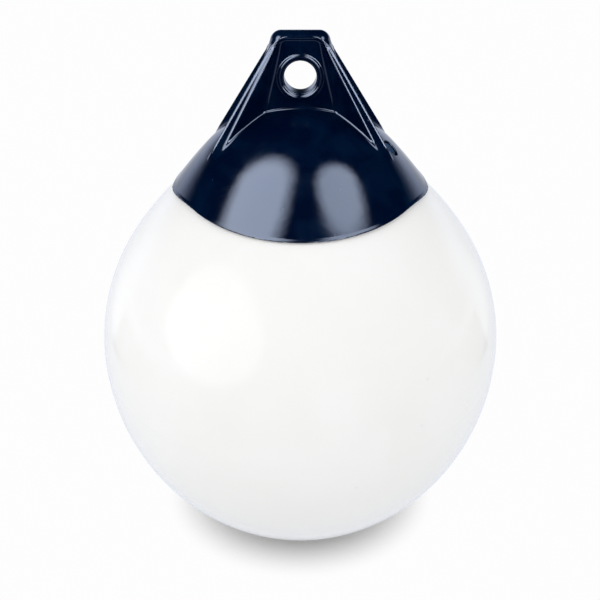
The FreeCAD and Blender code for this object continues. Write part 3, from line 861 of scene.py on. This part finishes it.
class Finish(Nodes):
    """A material with one shader, places on the piece, and the shared effects."""

    def __init__(self, name, roughness, specular, tint=(1, 1, 1, 1)):
        self.material = bpy.data.materials.new(name)
        self.material.use_nodes = True
        super().__init__(self.material.node_tree)
        self.shader = self.tree.nodes["Principled BSDF"]
        self.shader.inputs["Roughness"].default_value = roughness
        self.shader.inputs["Specular IOR Level"].default_value = specular
        self.shader.inputs["Specular Tint"].default_value = tint
        self.place = self.add("ShaderNodeTexCoord").outputs["Object"]

    def effect(self, name, **values):
        group = self.add("ShaderNodeGroup", {"node_tree": effect(name, *EFFECTS[name])})
        self.feed(group, "Place", self.place)
        for word, value in values.items():
            self.feed(group, word, value)
        return group.outputs

    def bump(self, height, depth, under=None):
        """Raise the surface by up to that depth, in metres."""
        node = self.add("ShaderNodeBump", Strength=1.0, Distance=depth, Height=height)
        if under is not None:
            self.feed(node, "Normal", under)
        self.feed(self.shader, "Normal", node.outputs[0])
        return node.outputs[0]


# ---------------------------------------------------------------- materials

def ball_vinyl():
    """Glossy off-white vinyl with faint rubs and dust."""
    n = Finish("ball_vinyl_detail", 0.1, 0.12)
    clouds = n.effect("melt_clouds", Size=0.07)["Cloud"]
    scratches = n.effect("hair_scratches", Spacing=0.006, Patch=0.06)["Mask"]
    dust = n.effect("dust", Patch=0.05, Spacing=0.02)
    colour = n.blend(clouds, (0.918, 0.918, 0.906, 1), (0.93, 0.93, 0.924, 1))
    colour = n.blend(n.math("MULTIPLY", scratches, 0.10), colour, (0.62, 0.61, 0.58, 1))
    colour = n.blend(n.math("MULTIPLY", dust["Specks"], 0.08), colour, (0.42, 0.40, 0.36, 1))
    n.feed(n.shader, "Base Color", colour)
    rough = n.math("ADD", n.fade(clouds, 0, 1, 0.07, 0.11), n.math("MULTIPLY", scratches, 0.25))
    n.feed(n.shader, "Roughness", n.math("ADD", rough, n.math("MULTIPLY", dust["Settled"], 0.08)))
    skin_normal = n.bump(n.effect("moulded_grain", Ripple=0.011, Grain=0.001)["Height"], 0.00002)
    n.bump(n.math("SUBTRACT", 1.0, scratches), 0.00001, skin_normal)
    return n.material


FLOW_LINE_HEIGHT, FLOW_LINE_SLOPE = 0.2849, -0.142


def flow_line(n):
    """A faint line under the eye where two streams of melt met: 1 on it, 0 off it."""
    spot = n.add("ShaderNodeSeparateXYZ", Vector=n.place)
    wobble = n.math("MULTIPLY", n.math("SUBTRACT", noise(n, n.place, 0.008, 2.0), 0.5), 0.0022)
    level = n.math("ADD", n.math("MULTIPLY", spot.outputs["X"], FLOW_LINE_SLOPE), FLOW_LINE_HEIGHT)
    off = n.math("ABSOLUTE", n.math("SUBTRACT", spot.outputs["Z"], n.math("ADD", level, wobble)))
    line = n.fade(off, 0.0, 0.0003, 1.0, 0.0)
    before = n.fade(spot.outputs["Y"], -0.004, -0.0045)
    beside = n.fade(n.math("ABSOLUTE", n.math("ADD", spot.outputs["X"], 0.0035)),
                    0.013, 0.017, 1.0, 0.0)
    return n.math("MULTIPLY", line, n.math("MULTIPLY", before, beside))


def rope_hold_vinyl():
    """Glossy navy vinyl: teal where the melt is thin, scuffed on sharp edges."""
    n = Finish("rope_hold_vinyl_detail", 0.1, 0.5, (0.65, 0.76, 1, 1))
    clouds = n.effect("melt_clouds", Size=0.022)["Cloud"]
    scratches = n.effect("hair_scratches", Spacing=0.004, Patch=0.03)["Mask"]
    dust = n.effect("dust", Patch=0.025, Spacing=0.009)
    flow = flow_line(n)
    edges = n.fade(n.add("ShaderNodeNewGeometry").outputs["Pointiness"], 0.56, 0.68)
    scuffs = n.math("MULTIPLY", edges, n.fade(noise(n, n.place, 0.004, 3.0), 0.5, 0.7))
    colour = n.blend(clouds, (0.0, 0.0028, 0.0165, 1), (0.0, 0.0062, 0.0255, 1))
    colour = n.blend(n.math("MULTIPLY", flow, 0.8), colour, (0.0, 0.0008, 0.006, 1))
    colour = n.blend(n.math("MULTIPLY", scuffs, 0.12), colour, (0.10, 0.14, 0.2, 1))
    colour = n.blend(n.math("MULTIPLY", scratches, 0.03), colour, (0.12, 0.17, 0.24, 1))
    colour = n.blend(n.math("MULTIPLY", dust["Specks"], 0.22), colour, (0.2, 0.26, 0.33, 1))
    n.feed(n.shader, "Base Color", colour)
    rough = n.math("ADD", n.fade(clouds, 0, 1, 0.07, 0.11), n.math("MULTIPLY", scratches, 0.2))
    rough = n.math("ADD", rough, n.math("MULTIPLY", scuffs, 0.15))
    n.feed(n.shader, "Roughness", n.math("ADD", rough, n.math("MULTIPLY", dust["Settled"], 0.05)))
    skin_normal = n.bump(n.effect("moulded_grain", Ripple=0.007, Grain=0.0006)["Height"], 0.00005)
    marks = n.math("MAXIMUM", flow, n.math("MULTIPLY", scratches, 0.2))
    n.bump(n.math("SUBTRACT", 1.0, marks), 0.00003, skin_normal)
    return n.material


def hard_plastic(name, dark, light):
    """Moulded hard plastic with a fine spark-eroded grain."""
    n = Finish(name, 0.4, 0.15, (0.7, 0.8, 1, 1))
    clouds = n.effect("melt_clouds", Size=0.004)["Cloud"]
    scratches = n.effect("hair_scratches", Spacing=0.0015, Patch=0.006)["Mask"]
    dust = n.effect("dust", Patch=0.004, Spacing=0.0025)
    colour = n.blend(clouds, (*dark, 1), (*light, 1))
    colour = n.blend(n.math("MULTIPLY", scratches, 0.15), colour, (0.15, 0.2, 0.27, 1))
    colour = n.blend(n.math("MULTIPLY", dust["Settled"], 0.05), colour, (0.3, 0.3, 0.28, 1))
    n.feed(n.shader, "Base Color", colour)
    n.feed(n.shader, "Roughness", n.math("ADD", n.fade(clouds, 0, 1, 0.34, 0.46),
                                         n.math("MULTIPLY", scratches, 0.15)))
    n.bump(n.effect("moulded_grain", Ripple=0.0012, Grain=0.0002)["Height"], 0.00002)
    return n.material


def seal_rubber():
    """Dull black rubber with a little dust."""
    n = Finish("seal_rubber_detail", 0.6, 0.4)
    clouds = n.effect("melt_clouds", Size=0.003)["Cloud"]
    dust = n.effect("dust", Patch=0.002, Spacing=0.0015)
    colour = n.blend(clouds, (0.012, 0.012, 0.013, 1), (0.024, 0.024, 0.025, 1))
    colour = n.blend(n.math("MULTIPLY", dust["Specks"], 0.3), colour, (0.2, 0.19, 0.17, 1))
    n.feed(n.shader, "Base Color", colour)
    n.feed(n.shader, "Roughness", n.fade(clouds, 0, 1, 0.5, 0.68))
    n.bump(n.effect("moulded_grain", Ripple=0.0008, Grain=0.00015)["Height"], 0.00003)
    return n.material


def finish_ball():
    """Put the ball's material on its CAD node."""
    ball = frame["nodes"]["ball"]
    ball.data.materials.clear()
    ball.data.materials.append(ball_vinyl())
    return ball


# ---------------------------------------------------------------- the whole buoy

bpy.context.scene.view_settings.view_transform = "Standard"
make_camera()
make_world()
make_floor()
make_black_cards()
make_lamps([finish_ball()], [make_rope_hold()] + make_valve())
